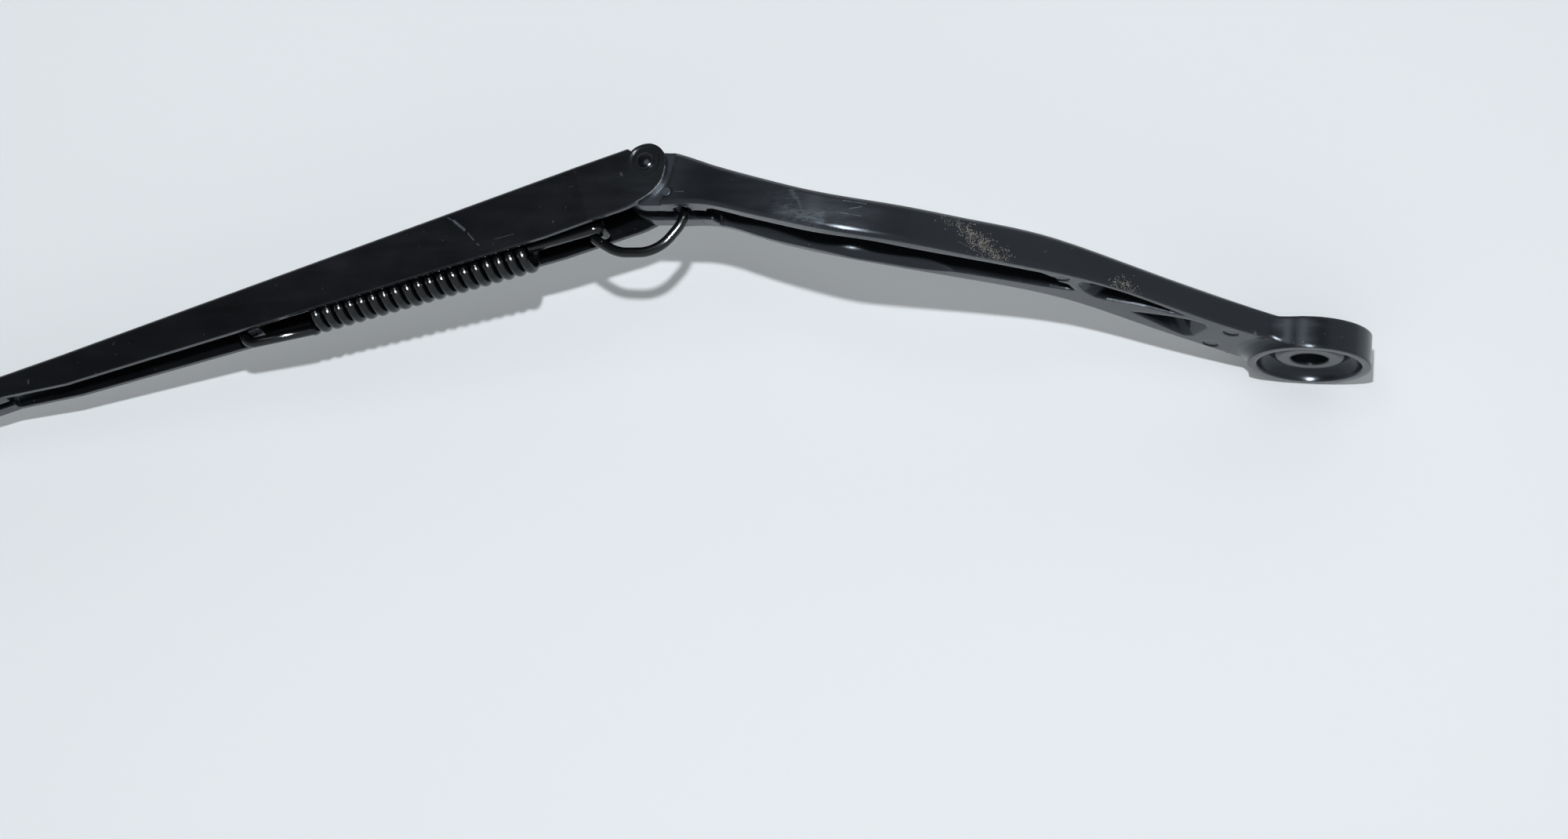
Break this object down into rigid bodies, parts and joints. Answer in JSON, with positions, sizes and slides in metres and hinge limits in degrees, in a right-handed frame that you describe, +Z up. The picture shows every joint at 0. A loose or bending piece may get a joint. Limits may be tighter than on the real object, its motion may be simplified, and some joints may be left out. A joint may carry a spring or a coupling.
{
  "type": "wiper arm",
  "caption": "Cranked wiper arm: a ribbed cast mounting head pivots a folded sheet channel with a hooked flat rod, held down by a tension spring and wire link.",
  "frame": {"origin": "on the spindle bore's axis, halfway along its wall", "axes": "+Z up the spindle axis, away from the vehicle; hinge axis along Y; +X along the folded channel in plan, towards the blade"},
  "size_m": [0.4261, 0.092, 0.0994],
  "materials": {
    "cast_paint": "semi-gloss black paint over a light alloy casting",
    "channel_paint": "semi-gloss black paint on folded sheet steel",
    "rod_paint": "semi-gloss black paint on flat steel",
    "spring_steel": "black coated spring wire",
    "black_steel": "black coated steel"
  },
  "bodies": {
    "head": {"mounting_head": "cast_paint", "link_pin": "black_steel"},
    "arm": {"arm_channel": "channel_paint", "wiper_rod": "rod_paint", "pivot_rivet": "black_steel"},
    "link": {"spring_link": "black_steel"},
    "spring": {"tension_spring": "spring_steel"}
  },
  "joints": [
    {"name": "arm_lift", "type": "hinge", "parent": "head", "child": "arm", "pos_m": [0.1576, 0.066, 0.0261], "axis": [0, -1, 0], "range_deg": [0, 80]},
    {"name": "link_turn", "type": "hinge", "parent": "head", "child": "link", "pos_m": [0.1512, 0.066, 0.0178], "axis": [0, -1, 0], "range_deg": [0, 76]},
    {"name": "spring_draw", "type": "slide", "parent": "link", "child": "spring", "axis": [0.9625, 0, -0.2714], "range_m": [0, 0.0085], "deforming": ["tension_spring"]}
  ],
  "couplings": [
    {"joint": "link_turn", "follows": "arm_lift", "ratio": 0.935},
    {"joint": "spring_draw", "follows": "arm_lift", "m_per_rad": 0.006}
  ]
}
